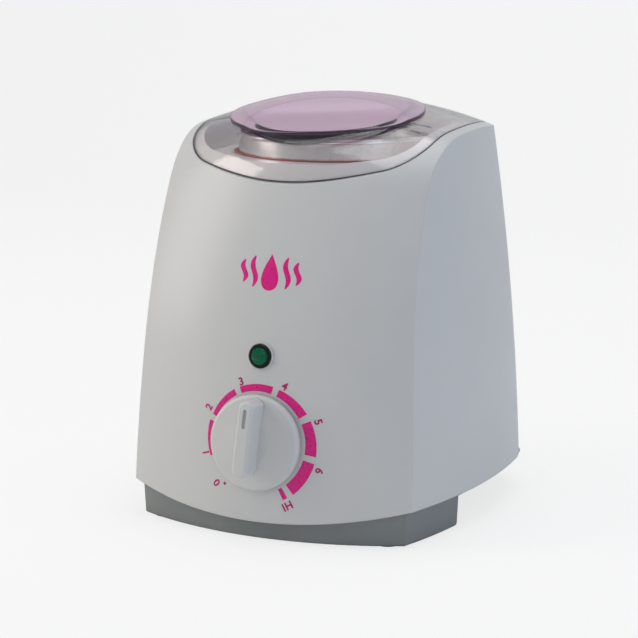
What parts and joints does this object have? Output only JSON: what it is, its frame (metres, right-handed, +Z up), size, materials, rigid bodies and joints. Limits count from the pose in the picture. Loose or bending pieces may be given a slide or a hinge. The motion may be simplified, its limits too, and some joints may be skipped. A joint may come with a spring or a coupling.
{
  "type": "wax warmer pot",
  "caption": "Salon wax heater: upright white housing with a thermostat dial and lamp, a lift-out steel pot in a heated well, and a clear lift-off lid with a domed grip.",
  "frame": {"origin": "middle of the footprint, on the surface that the rubber feet stand on", "axes": "+Z up, -Y towards the dial at the front, +X to the right seen from the front"},
  "size_m": [0.1832, 0.1962, 0.21],
  "materials": {
    "base_grey": "satin grey ABS, slightly green, lightly textured",
    "foot_rubber": "matt black rubber",
    "zinc_screw": "zinc plated steel",
    "shell_white": "gloss white ABS, faintly warm",
    "deck_white": "gloss white heat resistant plastic",
    "seal_red": "red silicone rubber",
    "well_aluminium": "spun aluminium",
    "band_steel": "stainless band heater",
    "wool": "off white ceramic wool",
    "fuse_can": "bright tinned can",
    "copper": "drawn copper tube",
    "bakelite": "black phenolic case",
    "shaft_steel": "turned steel",
    "knob_white": "gloss white ABS",
    "pointer_grey": "light grey inlay",
    "bezel_black": "gloss black nylon",
    "lens_green": "faceted translucent green",
    "pin_brass": "nickel free brass",
    "block_cream": "cream nylon",
    "lead_grey": "silicone insulated leads",
    "pot_steel": "bright drawn steel",
    "lid_clear": "clear acrylic with a light smoky lilac tint",
    "grip_lilac": "translucent lilac acrylic"
  },
  "bodies": {
    "housing": {"base_tray": "base_grey", "rubber_feet": "foot_rubber", "base_screws": "zinc_screw", "body_shell": "shell_white", "top_deck": "deck_white", "seal_ring": "seal_red", "heating_well": "well_aluminium", "well_screws": "zinc_screw", "heater_band": "band_steel", "band_screw": "zinc_screw", "band_nut": "zinc_screw", "wool_jacket": "wool", "thermal_fuse": "fuse_can", "fuse_strap": "band_steel", "fuse_screw": "zinc_screw", "sensor_phial": "copper", "thermostat_body": "bakelite", "dial_screws": "zinc_screw", "lamp_bezel": "bezel_black", "lamp_lens": "lens_green", "lamp_collar": "shell_white", "lamp_body": "bezel_black", "lamp_nut": "band_steel", "mains_inlet": "bezel_black", "inlet_pins": "pin_brass", "inlet_screws": "zinc_screw", "terminal_block": "block_cream", "block_screws": "zinc_screw", "wiring_leads": "lead_grey"},
    "dial": {"knob_cap": "knob_white", "knob_pointer": "pointer_grey", "knob_shaft": "shaft_steel"},
    "pot": {"wax_pot": "pot_steel"},
    "lid": {"lid_shell": "lid_clear", "lid_grip": "grip_lilac"}
  },
  "joints": [
    {"name": "dial_turn", "type": "hinge", "parent": "housing", "child": "dial", "pos_m": [0, -0.07898, 0.0493], "axis": [0, 0.9941, -0.1082], "range_deg": [-138, 150]},
    {"name": "pot_lift", "type": "slide", "parent": "housing", "child": "pot", "axis": [0, 0, 1], "range_m": [0, 0.125]},
    {"name": "lid_lift", "type": "slide", "parent": "pot", "child": "lid", "axis": [0, 0, 1], "range_m": [0, 0.08]}
  ]
}
